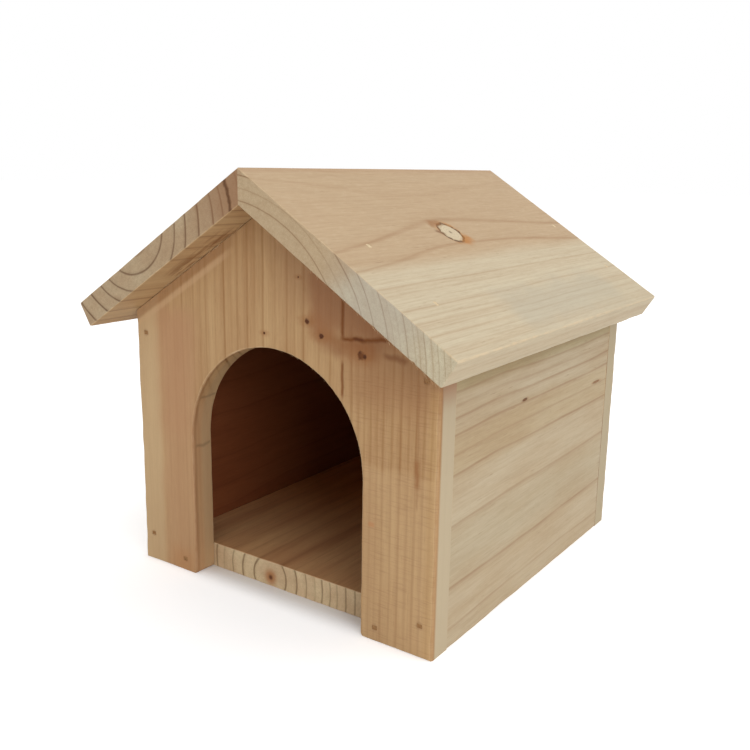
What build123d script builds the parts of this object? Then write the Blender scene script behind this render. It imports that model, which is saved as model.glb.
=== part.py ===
"""Hamster house: seven softwood boards, butt jointed, glued and held with sunk brads.

Two gable panels cover the ends of the side panels and of the floor board.  Two roof boards
meet in a vertical mitre at the ridge and bear on the gables and on the bevelled side panels.
"""

from build123d import *

import os
from math import cos, radians, sin, tan

# Driving dimensions, mm.  +Z is up and the doorway faces -Y.  The origin is on the ground,
# under the ridge, half way along the roof.

ridge_height = 110.0  # ground to ridge
body_width = 96.0  # across the outer faces of the side panels
body_depth = 107.0  # outer face of the front panel to outer face of the back panel
gable_thickness = 7.0  # front and back panels
side_thickness = 7.0
floor_thickness = 7.0
roof_thickness = 7.0

roof_pitch = radians(32.0)  # below level, from the ridge to each eave
roof_slope = 68.5  # ridge to eave, along the top face
front_overhang = 10.5  # roof past the front panel
back_overhang = 2.5  # roof past the back panel

door_width = 55.5
door_spring = 39.5  # ground to the centre of the doorway's arch

floor_gap = 0.2  # slack beside the floor board, so that it drops in between the side panels

edge_round = 1.0  # sanded upright arrises of the gable panels
joint_ease = 0.2  # fine break of the edges where a gable panel meets a side panel
gable_round = 0.5  # outer top arris of a gable panel, under the roof
door_round = 0.7  # outer arris of the doorway
door_inner_round = 0.4  # inner arris of the doorway
eave_round = 0.5  # long edges of the eaves

brad_length = 20.0
brad_width = 1.0  # wire, along the head
brad_thickness = 0.7  # wire, across the head
brad_head = 1.3  # the head's size across the wire
brad_head_depth = 0.4
brad_point = 1.2  # length of the chisel point
brad_set = 0.3  # head below the wood
brad_clearance = 0.05  # round the brad in its hole
side_brad_margin = 8.0  # brads into a side panel's ends, from its foot and from its top
floor_brad_spacing = 64.0  # between the two brads into an end of the floor board
roof_brad_high = 31.0  # down the slope from the ridge
roof_brad_low = 52.0

# Places worked out from them

half_width = body_width / 2
roof_length = front_overhang + body_depth + back_overhang
front_y = front_overhang - roof_length / 2
back_y = front_y + body_depth
inner_front_y = front_y + gable_thickness
inner_back_y = back_y - gable_thickness
inner_depth = inner_back_y - inner_front_y
inner_half_width = half_width - side_thickness

front_face = Plane.XZ.offset(-front_y)
back_face = Plane(origin=(0, back_y, 0), x_dir=(-1, 0, 0), z_dir=(0, 1, 0))
mid_depth = Plane.XZ.offset(-(front_y + back_y) / 2)
right_slope = Plane(
    origin=(0, 0, ridge_height),
    x_dir=(cos(roof_pitch), 0, -sin(roof_pitch)),
    z_dir=(sin(roof_pitch), 0, cos(roof_pitch)),
)


def under_roof(x):
    """Height of the roof boards' underside at x right of the ridge."""
    return ridge_height - roof_thickness / cos(roof_pitch) - x * tan(roof_pitch)


os.makedirs("parts", exist_ok=True)

# Brads.  A brad points down -Z from a surface at z = 0, with its head set below the surface.
# It is flat wire with a T head and a chisel point, and its hole is the same shape, larger by
# the clearance and open at the surface, so that the head bears on the hole's step.

brad_seat = brad_set + brad_head_depth  # depth of the head's underside
brad_tip = brad_set + brad_length


def wire_shape(top, tip, clearance=0.0):
    """Wire from its top down to its tip, grown sideways by a clearance."""
    with BuildPart() as wire:
        with BuildSketch(Plane.XZ):
            with BuildLine():
                Polyline(
                    (0, top),
                    (brad_head / 2 + clearance, top),
                    (brad_head / 2 + clearance, -brad_seat),
                    (brad_thickness / 2 + clearance, -brad_seat),
                    (brad_thickness / 2 + clearance, brad_point - brad_tip),
                    (0, tip),
                )
                mirror(about=Plane.YZ)
            make_face()
        extrude(amount=brad_width / 2 + clearance, both=True)
    return wire.part


brad = wire_shape(-brad_set, -brad_tip)
bore = wire_shape(0, -brad_tip - brad_clearance, brad_clearance)

side_mid = half_width - side_thickness / 2
gable_spots = [(side * side_mid, height) for side in (-1, 1)
               for height in (side_brad_margin, under_roof(side_mid) - side_brad_margin)]
gable_spots += [(side * floor_brad_spacing / 2, floor_thickness / 2) for side in (-1, 1)]
slope_spots = [(down, y)
               for down in (roof_brad_high, roof_brad_low)
               for y in (front_y + gable_thickness / 2, back_y - gable_thickness / 2)]

with BuildPart() as front_brads:
    with Locations(*[front_face.location * Pos(*spot) for spot in gable_spots]):
        add(brad)
front_brads.part.label = "front_brads"
export_step(front_brads.part, "parts/front_brads.step")

with BuildPart() as back_brads:
    with Locations(*[back_face.location * Pos(*spot) for spot in gable_spots]):
        add(brad)
back_brads.part.label = "back_brads"
export_step(back_brads.part, "parts/back_brads.step")

with BuildPart() as right_roof_brads:
    with Locations(*[right_slope.location * Pos(*spot) for spot in slope_spots]):
        add(brad)
right_roof_brads.part.label = "right_roof_brads"
export_step(right_roof_brads.part, "parts/right_roof_brads.step")

with BuildPart() as left_roof_brads:
    mirror(right_roof_brads.part, about=Plane.YZ)
left_roof_brads.part.label = "left_roof_brads"
export_step(left_roof_brads.part, "parts/left_roof_brads.step")

# Holes for all the brads, cut from every board that they pass through

with BuildPart() as bores:
    with Locations(*[right_slope.location * Pos(*spot) for spot in slope_spots]):
        add(bore)
    mirror(about=Plane.YZ)
    for face in (front_face, back_face):
        with Locations(*[face.location * Pos(*spot) for spot in gable_spots]):
            add(bore)

# Gable panels.  Both start as the same blank, which lies at the front.

with BuildPart() as gable_blank:
    with BuildSketch(front_face):
        with BuildLine():
            Polyline(
                (-half_width, 0),
                (half_width, 0),
                (half_width, under_roof(half_width)),
                (0, under_roof(0)),
                (-half_width, under_roof(half_width)),
                close=True,
            )
        make_face()
    extrude(amount=-gable_thickness)
    fillet(gable_blank.edges().filter_by(Axis.Z).group_by(Axis.Y)[0], radius=edge_round)
    chamfer(gable_blank.edges().filter_by(Axis.Z).group_by(Axis.Y)[-1], length=joint_ease)
    outer_edges = gable_blank.faces().sort_by(Axis.Y)[0].edges()
    fillet(outer_edges.sort_by(Axis.Z)[-2:], radius=gable_round)

with BuildPart() as front_panel:
    add(gable_blank.part)
    with BuildSketch(front_face):
        Rectangle(door_width, door_spring, align=(Align.CENTER, Align.MIN))
        with Locations((0, door_spring)):
            Circle(door_width / 2)
    extrude(amount=-gable_thickness, mode=Mode.SUBTRACT)
    cut_edges = front_panel.edges(Select.LAST)
    door_edges = cut_edges.filter_by_position(Axis.X, -door_width / 2, door_width / 2).group_by(Axis.Y)
    fillet(door_edges[0], radius=door_round)
    fillet(door_edges[-1], radius=door_inner_round)
    add(bores.part, mode=Mode.SUBTRACT)
front_panel.part.label = "front_panel"
export_step(front_panel.part, "parts/front_panel.step")

with BuildPart() as back_panel:
    mirror(gable_blank.part, about=mid_depth)
    add(bores.part, mode=Mode.SUBTRACT)
back_panel.part.label = "back_panel"
export_step(back_panel.part, "parts/back_panel.step")

# Side panels, between the gable panels, with their tops bevelled to the pitch of the roof

with BuildPart() as right_side_panel:
    with BuildSketch(Plane.XZ.offset(-inner_front_y)):
        with BuildLine():
            Polyline(
                (inner_half_width, 0),
                (half_width, 0),
                (half_width, under_roof(half_width)),
                (inner_half_width, under_roof(inner_half_width)),
                close=True,
            )
        make_face()
    extrude(amount=-inner_depth)
    outer_uprights = right_side_panel.edges().filter_by(Axis.Z).group_by(Axis.X)[-1]
    chamfer(outer_uprights, length=joint_ease)
    add(bores.part, mode=Mode.SUBTRACT)
right_side_panel.part.label = "right_side_panel"
export_step(right_side_panel.part, "parts/right_side_panel.step")

with BuildPart() as left_side_panel:
    mirror(right_side_panel.part, about=Plane.YZ)
left_side_panel.part.label = "left_side_panel"
export_step(left_side_panel.part, "parts/left_side_panel.step")

# Floor board, flat on the ground inside the four walls

with BuildPart() as floor_board:
    with BuildSketch():
        with Locations((0, (inner_front_y + inner_back_y) / 2)):
            Rectangle(2 * (inner_half_width - floor_gap), inner_depth)
    extrude(amount=floor_thickness)
    add(bores.part, mode=Mode.SUBTRACT)
floor_board.part.label = "floor_board"
export_step(floor_board.part, "parts/floor_board.step")

# Roof boards, mitred at the ridge and cut square to the slope at the eaves

with BuildPart() as right_roof_board:
    with BuildSketch(Plane.XZ.offset(roof_length / 2)):
        eave_top = (roof_slope * cos(roof_pitch), ridge_height - roof_slope * sin(roof_pitch))
        eave_bottom = (
            eave_top[0] - roof_thickness * sin(roof_pitch),
            eave_top[1] - roof_thickness * cos(roof_pitch),
        )
        with BuildLine():
            Polyline((0, ridge_height), eave_top, eave_bottom, (0, under_roof(0)), close=True)
        make_face()
    extrude(amount=-roof_length)
    fillet(right_roof_board.edges().filter_by(Axis.Y).group_by(Axis.X)[-2:], radius=eave_round)
    add(bores.part, mode=Mode.SUBTRACT)
right_roof_board.part.label = "right_roof_board"
export_step(right_roof_board.part, "parts/right_roof_board.step")

with BuildPart() as left_roof_board:
    mirror(right_roof_board.part, about=Plane.YZ)
left_roof_board.part.label = "left_roof_board"
export_step(left_roof_board.part, "parts/left_roof_board.step")
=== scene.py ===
from math import cos, pi, radians, sin, tan

import bmesh
import bpy
import numpy as np
from mathutils import Matrix, Vector


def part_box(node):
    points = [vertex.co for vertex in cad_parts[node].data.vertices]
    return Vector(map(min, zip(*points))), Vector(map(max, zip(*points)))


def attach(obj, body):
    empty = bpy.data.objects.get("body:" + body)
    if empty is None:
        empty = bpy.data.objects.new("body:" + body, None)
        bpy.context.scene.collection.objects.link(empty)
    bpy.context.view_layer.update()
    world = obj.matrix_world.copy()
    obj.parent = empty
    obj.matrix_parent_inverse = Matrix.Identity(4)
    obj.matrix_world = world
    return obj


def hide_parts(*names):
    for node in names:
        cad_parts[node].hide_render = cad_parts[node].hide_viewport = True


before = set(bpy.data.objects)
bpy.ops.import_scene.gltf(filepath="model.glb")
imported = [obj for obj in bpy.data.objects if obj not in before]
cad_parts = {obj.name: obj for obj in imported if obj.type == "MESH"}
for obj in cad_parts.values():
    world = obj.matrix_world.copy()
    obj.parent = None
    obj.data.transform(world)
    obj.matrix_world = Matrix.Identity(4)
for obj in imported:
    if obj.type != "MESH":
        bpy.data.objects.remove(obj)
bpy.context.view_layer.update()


# Camera.  It stands in front of the house, to the right and level with the ridge, and looks
# slightly down, so that the doorway, the right wall and the right slope of the roof show.

def add_object(name, data):
    """A new object, put in the scene."""
    made = bpy.data.objects.new(name, data)
    bpy.context.scene.collection.objects.link(made)
    return made


camera_data = bpy.data.cameras.new("camera")
camera_data.sensor_width = 36.0
camera_data.lens = 42.974
camera_data.clip_start = 0.01
camera = add_object("camera", camera_data)
camera_place = Vector((0.141656, -0.209865, 0.111110))
camera_azimuth, camera_elevation, camera_roll = radians(34.626), radians(13.216), radians(1.028)
camera.matrix_world = (
    Matrix.Translation(camera_place)
    @ Matrix.Rotation(camera_azimuth, 4, "Z")
    @ Matrix.Rotation(radians(90) - camera_elevation, 4, "X")
    @ Matrix.Rotation(camera_roll, 4, "Z")
)
bpy.context.scene.camera = camera
bpy.context.scene.view_settings.view_transform = "Standard"


# Studio.  A white table under an even white sky, with two broad soft lamps, one overhead and one
# to the right.  What the camera sees of the table and the sky is white, but for the house's
# shadow and a painted contact shadow: the table glows less close to the walls, and not at all under
# them.

class Tree:
    """A tree of nodes, built up node by node.  Most steps give the new node's output."""

    def __init__(self, tree):
        self.tree = tree

    def add(self, kind, *values, **settings):
        """A new node, with its settings made and its sockets fed in order."""
        node = self.tree.nodes.new(kind)
        for name, value in settings.items():
            setattr(node, name, value)
        for socket, value in zip(node.inputs, values):
            if isinstance(value, bpy.types.NodeSocket):
                self.tree.links.new(value, socket)
            elif value is not None:
                socket.default_value = value
        return node

    def node(self, kind, *values, output=0, **settings):
        return self.add(kind, *values, **settings).outputs[output]

    def math(self, operation, *values):
        return self.node("ShaderNodeMath", *values, operation=operation)

    def vector(self, operation, a, b=None, scale=None):
        return self.node("ShaderNodeVectorMath", a, b, None, scale, operation=operation,
                         output=int(operation == "DOT_PRODUCT"))

    def minus(self, a, b):
        return self.math("SUBTRACT", a, b)

    def away(self, value):
        """How far a value is from 0."""
        return self.math("ABSOLUTE", value)

    def smooth(self, value, low, high, least=0.0, most=1.0):
        """A soft step from least, at low, to most, at high.  Low may be above high."""
        if low > high:
            low, high, least, most = high, low, most, least
        return self.node("ShaderNodeMapRange", value, low, high, least, most,
                         interpolation_type="SMOOTHSTEP")

    def seen_directly(self):
        """1 for what the camera, glass or metal shows, and 0 for the light on the house."""
        path = self.add("ShaderNodeLightPath").outputs
        either = path["Is Camera Ray"]
        for ray in ("Is Glossy Ray", "Is Transmission Ray"):
            either = self.math("MAXIMUM", either, path[ray])
        return either


white = (1.0, 1.0, 1.0, 1.0)
sky_light, sky_seen = 0.62, 1.0
world = bpy.data.worlds.new("sky")
world.use_nodes = True
bpy.context.scene.world = world
sky = Tree(world.node_tree)
backdrop = sky.tree.nodes["Background"].inputs
backdrop["Color"].default_value = white
strength = sky.node("ShaderNodeMapRange", sky.seen_directly(), None, None, sky_light, sky_seen)
sky.tree.links.new(strength, backdrop["Strength"])

table_white = bpy.data.materials.new("table_white")
table_white.use_nodes = True
tabletop = Tree(table_white.node_tree)
table_paint = tabletop.tree.nodes["Principled BSDF"]
table_paint.inputs["Base Color"].default_value = (0.88, 0.87, 0.87, 1.0)
table_paint.inputs["Roughness"].default_value = 0.9
table_paint.inputs["Specular IOR Level"].default_value = 0.1

dark_from, bright_from, table_glow = -0.007, 0.003, 0.5
place = tabletop.add("ShaderNodeTexCoord").outputs["Object"]
place = tabletop.add("ShaderNodeSeparateXYZ", place).outputs
low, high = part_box("front_panel")[0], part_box("back_panel")[1]
past_walls = []
for axis in (0, 1):
    middle = (low[axis] + high[axis]) / 2
    offset = tabletop.away(tabletop.minus(place[axis], middle))
    past_walls.append(tabletop.minus(offset, high[axis] - middle))
glow = tabletop.math("MAXIMUM", *past_walls)
# Painted contact shadow: the glow fades from its full share 3 mm outside the walls to none 7 mm
# inside them.
glow = tabletop.smooth(glow, dark_from, bright_from, 0.0, table_glow)
glow = tabletop.math("MULTIPLY", glow, tabletop.seen_directly())
glow = tabletop.node("ShaderNodeEmission", white, glow)
surface = tabletop.node("ShaderNodeAddShader", table_paint.outputs[0], glow)
tabletop.tree.links.new(surface, tabletop.tree.nodes["Material Output"].inputs["Surface"])

table_half = 4.0
table_mesh = bpy.data.meshes.new("table")
table_mesh.from_pydata(
    [(x * table_half, y * table_half, 0.0) for x, y in ((-1, -1), (1, -1), (1, 1), (-1, 1))],
    [], [(0, 1, 2, 3)],
)
table_mesh.materials.append(table_white)
table = add_object("table", table_mesh)


def lamp(name, place, size, power):
    """A square soft box at a place, facing the house."""
    data = bpy.data.lights.new(name, "AREA")
    data.shape = "SQUARE"
    data.size = size
    data.energy = power
    box = add_object(name, data)
    box.location = place
    box.rotation_euler = (house_middle - Vector(place)).to_track_quat("-Z", "Y").to_euler()


house_middle, lamp_size = Vector((0, 0, 0.05)), 0.5
lamp("overhead_lamp", (0.35, 0.25, 0.95), lamp_size, 2.6)
lamp("right_lamp", (0.85, -0.55, 0.35), lamp_size, 3.4)


# Floor board.  Planed pine with the heart of the tree in it: its front end shows the pith, and
# its top shows the rings as lines from front to back.  It lies on the ground between the walls.

MM = 0.001
board_thick = 7


def paint(*levels):
    """A colour's screen levels, 0 to 255, as Blender's linear values."""
    return (*(((level / 255 + 0.055) / 1.055) ** 2.4 for level in levels), 1)


def darker(levels, share):
    """The same with the colour's light cut or raised to a share."""
    return (*(share * level for level in paint(*levels)[:3]), 1)


class Wood(Tree):
    """The wood of one board as shader nodes, built up from the grain outwards.

    Places and sizes are millimetres in the board's own directions, measured from its corner:
    u across its face, v in from its face and w along its grain.
    """

    def __init__(self, name, corner=(0, 0, 0), across=(1, 0, 0), inward=(0, 1, 0), along=(0, 0, 1)):
        self.material = bpy.data.materials.new(name)
        self.material.use_nodes = True
        super().__init__(self.material.node_tree)
        place = self.add("ShaderNodeTexCoord").outputs
        spot = self.vector("SUBTRACT", self.vector("SCALE", place["Object"], scale=1 / MM), corner)
        ways = (across, inward, along)
        self.u, self.v, self.w = (self.vector("DOT_PRODUCT", spot, way) for way in ways)
        self.faces_u, self.faces_v, self.faces_w = (
            self.vector("DOT_PRODUCT", place["Normal"], way) for way in ways)
        self.sides = self.smooth(self.away(self.faces_u), 0.75, 0.95)
        self.end = self.smooth(self.away(self.faces_w), 0.55, 0.9)
        near, far = 0.8, 1.1
        self.face = self.smooth(self.v, far, near)
        self.back = self.smooth(self.v, board_thick - far, board_thick - near)
        self.height = 0

    def total(self, *values):
        """All the values added up."""
        result = values[0]
        for value in values[1:]:
            result = self.math("ADD", result, value)
        return result

    def times(self, *values):
        """All the values multiplied together."""
        result = values[0]
        for value in values[1:]:
            result = self.math("MULTIPLY", result, value)
        return result

    def hypot(self, a, b):
        return self.math("SQRT", self.total(self.times(a, a), self.times(b, b)))

    def noise(self, size, detail, rough=0.5, shift=0):
        """Noise from -0.5 to 0.5, of about a size in mm, which may be three along u, v and w."""
        sizes = size if isinstance(size, tuple) else (size,) * 3
        place = self.node("ShaderNodeCombineXYZ", *(
            self.math("MULTIPLY_ADD", way, 1 / length, shift)
            for way, length in zip((self.u, self.v, self.w), sizes)))
        return self.minus(self.node("ShaderNodeTexNoise", place, None, 1, detail, rough), 0.5)

    def clouds(self, size, detail, low, high, least=0, most=1, rough=0.5, shift=0):
        """Noise with a soft step."""
        return self.smooth(self.noise(size, detail, rough, shift), low, high, least, most)

    def drift(self, reach, size, detail, shift=0):
        """How far a grain or an edge strays, by up to half a reach each way."""
        return self.times(self.noise(size, detail, shift=shift), reach)

    def zone(self, across, along, soft, ragged=0, on=1):
        """1 inside a stretch of the board, from and to in u and in w, fading over soft mm.  On is
        the face or back that it lies on, where it doesn't go through the board."""
        mask = on
        for way, (low, high) in ((self.u, across), (self.w, along)):
            if ragged:
                way = self.math("ADD", way, self.drift(ragged, (6, 6, 9), 3, low))
            for edge, outside in ((low, low - soft), (high, high + soft)):
                mask = self.times(mask, self.smooth(way, outside, 2 * edge - outside))
        return mask

    def blend(self, share, a, b, way="MIX"):
        """One colour over another.  Each is a socket, three screen levels or four linear values."""
        a, b = (paint(*colour) if isinstance(colour, tuple) and len(colour) == 3 else colour
                for colour in (a, b))
        return self.node(
            "ShaderNodeMix", share, *[None] * 5, a, b, output=2, data_type="RGBA", blend_type=way)

    def stain(self, colour, *masks, way="MIX"):
        """Colours what all the masks cover."""
        self.colour = self.blend(self.times(*masks), self.colour, colour, way)

    def patch(self, colour, share, *zone):
        """Colours a share of what shows in a zone."""
        self.stain(colour, self.zone(*zone), share)

    def paint_inside_shade(self, *levels):
        """Paints shade on the side that faces away from the board's face, which is inside the
        house: it darkens and reddens that side by the given levels.
        """
        self.stain(levels, self.smooth(self.faces_v, 0.5, 0.9), way="MULTIPLY")

    def emboss(self, mask, height):
        """Raises what the mask covers by a height in mm."""
        self.height = self.math("MULTIPLY_ADD", mask, height, self.height)

    def swell(self, w, before, behind, rise):
        """How far a branch at w has pushed the rings out, over its reach along the grain."""
        offset = self.minus(self.w, w)
        turns = self.math("DIVIDE", offset, self.smooth(offset, -1, 1, before, behind))
        return self.times(self.math("EXPONENT", self.times(turns, turns, -1)), rise)

    def radius(self, pith, squeeze=1):
        """Distance from the tree's pith, which runs along the board at u, v; squeeze packs the
        rings closer on the side where u is more."""
        u = self.minus(self.u, pith[0])
        if squeeze != 1:
            u = self.math("MAXIMUM", self.times(u, squeeze), self.times(u, -1))
        return self.hypot(u, self.minus(self.v, pith[1]))

    def rings(self, distance, lines, rise=0.9, fall=0.3):
        """Late wood, 0 to 1, which darkens up to each ring's line and ends soon after it.  Lines
        are the rings' (distance, darkness) in order, a few to each curve, to keep them crisp."""
        place = self.times(distance, 0.45)
        bands = self.node("ShaderNodeTexNoise", None, place, 1, 2, 0.5, noise_dimensions="1D")
        self.bands = self.minus(bands, 0.5)
        few = 5
        return self.total(*(self.few_rings(distance, lines[first:first + few], rise, fall)
                            for first in range(0, len(lines), few)))

    def few_rings(self, distance, lines, rise, fall):
        """The rings of one curve."""
        low, high = lines[0][0] - rise, lines[-1][0] + fall
        points = [(low, 0)]
        for place, darkness in lines:
            start = max(points[-1][0] + 0.02, place - rise)
            points += [
                (start, points[-1][1]), (place - 0.35 * (place - start), 0.25 * darkness),
                (place - 0.05, darkness), (place + 0.4 * fall, 0.6 * darkness), (place + fall, 0)]
        share = self.node("ShaderNodeMapRange", distance, low, high)
        curve = self.tree.nodes.new("ShaderNodeFloatCurve")
        spots = curve.mapping.curves[0].points
        spots[0].location, spots[1].location = (0, 0), (1, 0)
        for place, darkness in points[1:-1]:
            spots.new((place - low) / (high - low), darkness)
        for spot in spots:
            spot.handle_type = "VECTOR"
        curve.mapping.update()
        self.tree.links.new(share, curve.inputs["Value"])
        return curve.outputs[0]

    def coat(self, pale, dark, late, season, share, end_tone=(0.97, 0.95, 0.92), clouds=None):
        """The board's colours: pale and dark wood in clouds, fibres and late wood, and pale arrises
        that are partly worn and partly a painted highlight.
        """
        if clouds is None:
            clouds = self.clouds((9, 9, 50), 3, -0.2, 0.2)
        self.colour = self.blend(clouds, pale, dark)
        self.stain(darker(dark, 0.93), self.smooth(self.bands, -0.15, 0.2, 0, 0.3))
        fibre = self.noise((0.25, 0.25, 8), 3, 0.6, shift=3.1)
        strand = self.noise((0.9, 0.9, 30), 2, shift=7.7)
        self.stain(darker(late, 0.7), self.smooth(fibre, -0.1, 0.25, 0, 0.13))
        self.stain(darker(pale, 1.12), self.smooth(fibre, -0.1, -0.3, 0, 0.1))
        self.stain(late, self.smooth(strand, -0.1, 0.2, 0, 0.1))
        fleck = self.noise((0.7, 0.7, 2.6), 2, 0.6, shift=2.3)
        self.stain(darker(dark, 0.8), self.smooth(fleck, 0, 0.25, 0, 0.15))
        self.stain(darker(pale, 1.15), self.smooth(fleck, 0, -0.25, 0, 0.11))
        canals = self.clouds((0.3, 0.3, 5), 1, 0.2, 0.3, shift=11.3)
        self.stain(darker(late, 0.75), canals, self.smooth(self.end, 0.3, 0, 0, 0.28))
        patchy = self.clouds((4, 4, 20), 2, -0.25, 0.1, 0.6, 1, shift=5.3)
        strength = self.smooth(self.end, 0, 1, share, min(1, 1.4 * share))
        self.stain(late, season, patchy, strength)
        self.stain(darker(late, 0.5), self.smooth(season, 0.1, 0.6), self.end, 0.4)
        speckle = self.noise(0.25, 2, 0.6, shift=1.9)
        mottle = self.noise(1.6, 2, 0.6, shift=4.9)
        grit = self.total(
            self.smooth(speckle, -0.1, 0.2, 0, 0.17), self.smooth(mottle, -0.1, 0.2, 0, 0.1))
        self.stain(darker(late, 0.8), self.end, grit)
        self.stain((*end_tone, 1), self.end, way="MULTIPLY")
        # Pale arrises: partly worn wood, partly a painted highlight where the arris would catch the
        # light.
        aslant = self.math("SQRT", self.minus(1, self.times(self.faces_v, self.faces_v)))
        arris = self.smooth(self.times(self.away(self.faces_v), aslant), 0.15, 0.4)
        worn_and_highlit = self.clouds(2.5, 2, -0.2, 0.15, 0.1, 0.45, shift=13.7)
        self.stain((222, 196, 158), arris, worn_and_highlit)
        self.emboss(fibre, -0.03)
        self.emboss(self.times(self.end, speckle), 0.06)
        self.emboss(season, 0.02)
        self.rough = self.smooth(fibre, -0.3, 0.3, 0.6, 0.74)

    def pin_knot(self, u, w, size, bark, halo, reach=5):
        """A small dead knot: a ragged dark spot, in stained wood drawn out across the grain."""
        du = self.times(self.minus(self.u, u), 1 / size)
        dw = self.times(self.minus(self.w, w), 1 / size)
        ragged = self.drift(1.6, 0.9, 3, u)
        near = self.math("ADD", self.hypot(du, dw), ragged)
        wide = self.math("ADD", self.hypot(self.times(du, 0.5), dw), self.times(ragged, 1.6))
        self.stain(halo, self.smooth(wide, reach, 0.6, 0, 0.4))
        self.stain(bark, self.smooth(near, 1.5, 0.6))
        self.emboss(self.smooth(near, 1.2, 0.7), -0.12)

    def brad_marks(self, spots, colour):
        """Brown stains where dirt and glue have soaked in round the brads."""
        for u, w in spots:
            near = self.hypot(self.minus(self.u, u), self.minus(self.w, w))
            near = self.math("MULTIPLY_ADD", self.noise(1, 2, shift=u + w), 0.9, near)
            self.stain(colour, self.smooth(near, 1.3, 0.4, 0, 0.34), self.face)

    def knot(self, u, w, size, bark, heart, halo, lean=0, spread=2.3):
        """A branch's wood at u, w on the face, in a ring of bark with stained wood round it."""
        du = self.minus(self.math("MULTIPLY_ADD", self.v, -lean, self.u), u)
        dw = self.minus(self.w, w)
        reach = self.hypot(self.times(du, 1 / size[0]), self.times(dw, 1 / size[1]))
        reach = self.math("MULTIPLY_ADD", self.noise(1.6, 2, shift=u), 0.3, reach)
        side = self.clouds((3.5, 9, 3.5), 1, -0.15, 0.1, 0.3, 1, shift=2.7 + w)
        self.stain(halo, self.smooth(reach, spread, 1, 0, 0.7), side)
        inside = self.smooth(reach, 1, 0.86)
        self.stain(heart, inside)
        grain = self.math("SINE", self.times(reach, 26))
        self.stain(bark, inside, self.smooth(grain, 0, 1, 0, 0.15))
        self.stain(bark, self.smooth(reach, 0.22, 0.05, 0, 0.6))
        ring = self.smooth(self.away(self.minus(reach, 1)), 0.15, 0.03)
        uneven = self.clouds(2.2, 2, -0.15, 0.1, 0.35, 0.95, shift=4.1 + u)
        self.stain(bark, ring, uneven)
        self.emboss(ring, -0.2)

    def streak(self, start, stop, width, colour, share, depth=0, wander=0.5):
        """A thin mark on the face from one u, w to another: a crack, a joint or a pitch vein."""
        way = Vector(stop) - Vector(start)
        run = way.length
        way = way / run
        du = self.minus(self.u, start[0])
        dw = self.minus(self.w, start[1])
        passed = self.total(self.times(du, way.x), self.times(dw, way.y))
        off = self.total(self.times(du, -way.y), self.times(dw, way.x),
                         self.drift(wander, 3, 2, start[0]))
        past = self.minus(self.away(self.minus(passed, run / 2)), run / 2)
        fade = min(1, run / 4)
        mask = self.times(self.smooth(self.away(off), width, 0),
                          self.smooth(past, fade, -fade), self.face, share)
        self.stain(colour, mask)
        if depth:
            self.emboss(mask, -depth)

    def specks(self, size, detail, light, dark, least_rough, most_rough):
        """Colours what has no grain in two colours, one rougher than the other; gives the mask."""
        mask = self.clouds(size, detail, -0.2, 0.2)
        self.colour = self.blend(mask, light, dark)
        self.rough = self.smooth(mask, 0, 1, least_rough, most_rough)
        return mask

    def finish(self):
        """Wires the board's colour, roughness and relief to its shader."""
        shader = self.tree.nodes["Principled BSDF"]
        self.tree.links.new(self.colour, shader.inputs["Base Color"])
        self.tree.links.new(self.rough, shader.inputs["Roughness"])
        shader.inputs["Specular IOR Level"].default_value = 0.3
        bump = self.tree.nodes.new("ShaderNodeBump")
        bump.inputs["Distance"].default_value = MM
        bump.inputs["Strength"].default_value = 1
        self.tree.links.new(self.height, bump.inputs["Height"])
        self.tree.links.new(bump.outputs[0], shader.inputs["Normal"])
        return self.material


def mesh_lines(length, pitch, arris=0.8, fine=()):
    """Where a board's mesh lines cross one of its sides: even in the middle, closer in the
    arrises, and closer in each fine stretch, which is (from, to, pitch)."""
    near = [0, 0.12, 0.3, 0.55, 1]
    places = [share * arris for share in near]
    while places[-1] < length - arris - 1e-6:
        here = places[-1]
        step = min([pitch] + [close for low, high, close in fine if low - pitch <= here < high])
        places.append(min(here + step, length - arris))
    if places[-1] - places[-2] < 0.3 * pitch:
        places.pop(-2)
    return np.array(places + [length - share * arris for share in near[-2::-1]])


def block_skin(u_lines, v_lines, w_lines):
    """Points on the skin of a block with these mesh lines, and the skin's outward quads."""
    on_skin = np.zeros((len(u_lines), len(v_lines), len(w_lines)), bool)
    for axis in range(3):
        for end in (0, -1):
            on_skin[(slice(None),) * axis + (end,)] = True
    index = np.full(on_skin.shape, -1)
    index[on_skin] = np.arange(on_skin.sum())
    points = np.stack(np.meshgrid(u_lines, v_lines, w_lines, indexing="ij"), -1)[on_skin]
    quads = []
    for axis in range(3):
        for end in (0, -1):
            side = index.take(end, axis)
            ring = [side[:-1, :-1], side[1:, :-1], side[1:, 1:], side[:-1, 1:]]
            if (end == 0) != (axis == 1):
                ring.reverse()
            quads.append(np.stack(ring, -1).reshape(-1, 4))
    return points, np.concatenate(quads)


def wobble(points, size, seed):
    """Smooth chance numbers from about -1 to 1, which change over about a size in mm."""
    draw = np.random.default_rng(seed)
    total, count, close, tall = 0, 7, 1.6, 3.2
    for _ in range(count):
        way = draw.normal(size=points.shape[1]) * close / size
        total = total + np.sin(points @ way + draw.uniform(0, 2 * pi))
    return total / tall


def unevenness(points, seed, other_seed):
    """Chance shares round 1 by which an arris is worn more or less along its length."""
    return 1 + 0.3 * wobble(points, 7, seed) + 0.2 * wobble(points, 2, other_seed)


def round_arris(a, b, radius):
    """Rounds the arris between two sides, given how deep points lie below each, and gives the
    new depths."""
    x, y = np.maximum(radius - a, 0), np.maximum(radius - b, 0)
    share = np.maximum(x, y) / np.maximum(np.hypot(x, y), 1e-9)
    both = (x > 0) & (y > 0)
    return np.where(both, radius - x * share, a), np.where(both, radius - y * share, b)


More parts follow.
